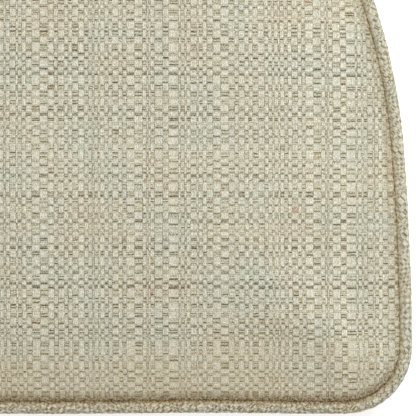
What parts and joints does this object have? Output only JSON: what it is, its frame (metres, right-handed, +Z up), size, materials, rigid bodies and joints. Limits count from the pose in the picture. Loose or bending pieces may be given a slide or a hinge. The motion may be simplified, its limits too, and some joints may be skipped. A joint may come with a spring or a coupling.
{
  "type": "chair pad",
  "caption": "Filled seat pad for a dining chair, with a squared front, a tapered rounded back and a welted knife edge, in natural tweed cloth.",
  "frame": {"origin": "bottom centre of the bounding box, in the middle of the flat underside", "axes": "+X to the pad's right, +Y to its back, which goes towards the chair's back, and +Z up"},
  "size_m": [0.404, 0.38, 0.038],
  "materials": {
    "cover_fabric": "cream and taupe tweed in an irregular basket weave, matt",
    "welt_fabric": "the same tweed cut on the bias over a cord, matt"
  },
  "bodies": {
    "root": {"pad": "cover_fabric", "welt": "welt_fabric"}
  },
  "joints": []
}
